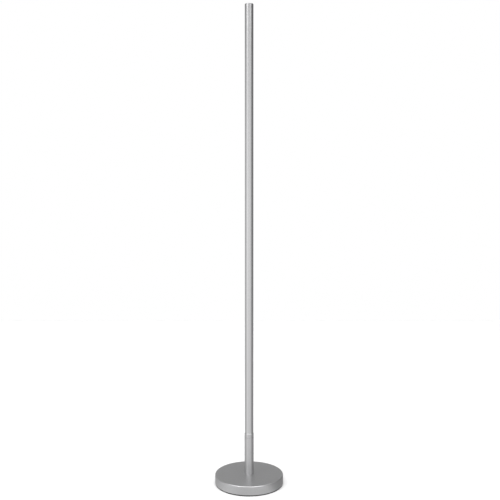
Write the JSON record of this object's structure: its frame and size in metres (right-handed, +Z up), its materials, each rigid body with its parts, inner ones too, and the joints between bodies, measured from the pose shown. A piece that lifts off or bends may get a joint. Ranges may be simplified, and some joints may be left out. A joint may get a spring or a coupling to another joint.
{
  "type": "floor lamp",
  "caption": "Slim floor uplighter: a plain round pole that turns in a collar on a weighted round disc base, with the light source under a lens in its upper end.",
  "frame": {"origin": "on the floor, under the pole's axis at the centre of the round base", "axes": "+Z up along the pole; -Y is the front; +Y is the rear with the cable inlet; +X is the right-hand side seen from the front"},
  "size_m": [0.25, 0.25, 1.74],
  "materials": {
    "coated_steel": "satin metallic grey lacquer on steel",
    "pole_aluminium": "satin clear anodised, drawn lengthwise",
    "ring_aluminium": "satin clear anodised, turned",
    "sink_aluminium": "extruded, as drawn",
    "foot_rubber": "matt, moulded",
    "bush_rubber": "matt, moulded",
    "gasket_rubber": "matt, moulded",
    "cast_iron": "as cast, primed",
    "zinc_sheet": "zinc-plated sheet",
    "zinc_screws": "zinc-plated",
    "black_screws": "black oxide",
    "turned_steel": "turned, bright",
    "spring_steel": "phosphated spring steel",
    "tinned_copper": "tinned",
    "bush_plastic": "natural acetal",
    "washer_plastic": "black acetal",
    "case_plastic": "moulded, fine grain",
    "block_plastic": "moulded polyamide",
    "circuit_board": "glass-epoxy board with its parts",
    "brown_core": "smooth insulation",
    "blue_core": "smooth insulation",
    "earth_core": "smooth insulation, green and yellow",
    "black_jacket": "smooth jacket",
    "connector_plastic": "moulded polyamide",
    "board_white": "white solder resist on aluminium",
    "ceramic": "sintered ceramic",
    "phosphor": "phosphor in silicone",
    "reflector_metal": "bright-dipped, polished",
    "lens_glass": "clear"
  },
  "bodies": {
    "base": {"foot_ring": "foot_rubber", "bottom_plate": "zinc_sheet", "bottom_plate_screws": "zinc_screws", "base_cover": "coated_steel", "cable_inlet_bush": "bush_rubber", "ballast": "cast_iron", "driver_case": "case_plastic", "driver_board": "circuit_board", "driver_lid": "case_plastic", "driver_screws": "zinc_screws", "terminal_block": "block_plastic", "terminal_screws": "zinc_screws", "terminal_block_screws": "zinc_screws", "live_lead": "brown_core", "neutral_lead": "blue_core", "earth_lead": "earth_core", "earth_tag": "tinned_copper", "earth_screw": "zinc_screws", "led_lead": "black_jacket", "collar_tube": "coated_steel", "socket_foot": "turned_steel", "hub_washer": "zinc_screws", "hub_nut": "zinc_screws", "upper_bush": "bush_plastic", "lower_bush": "bush_plastic", "stop_pin": "turned_steel", "thrust_washer": "washer_plastic"},
    "stem": {"swivel_post": "coated_steel", "stop_ring": "turned_steel", "disc_springs": "spring_steel", "post_circlip": "spring_steel", "pole_tube": "pole_aluminium", "pole_grub_screws": "black_screws", "connector_socket": "connector_plastic", "connector_plug": "connector_plastic", "pole_lead": "black_jacket", "heat_sink": "sink_aluminium", "heat_sink_screws": "black_screws", "led_board": "board_white", "board_screws": "zinc_screws", "led_module": "ceramic", "led_emitter": "phosphor", "reflector": "reflector_metal", "lens": "lens_glass", "lens_gasket": "gasket_rubber", "top_ring": "ring_aluminium"}
  },
  "joints": [
    {"name": "stem_turn", "type": "hinge", "parent": "base", "child": "stem", "pos_m": [0, 0, 0.171], "axis": [0, 0, 1], "range_deg": [-160, 160]}
  ]
}
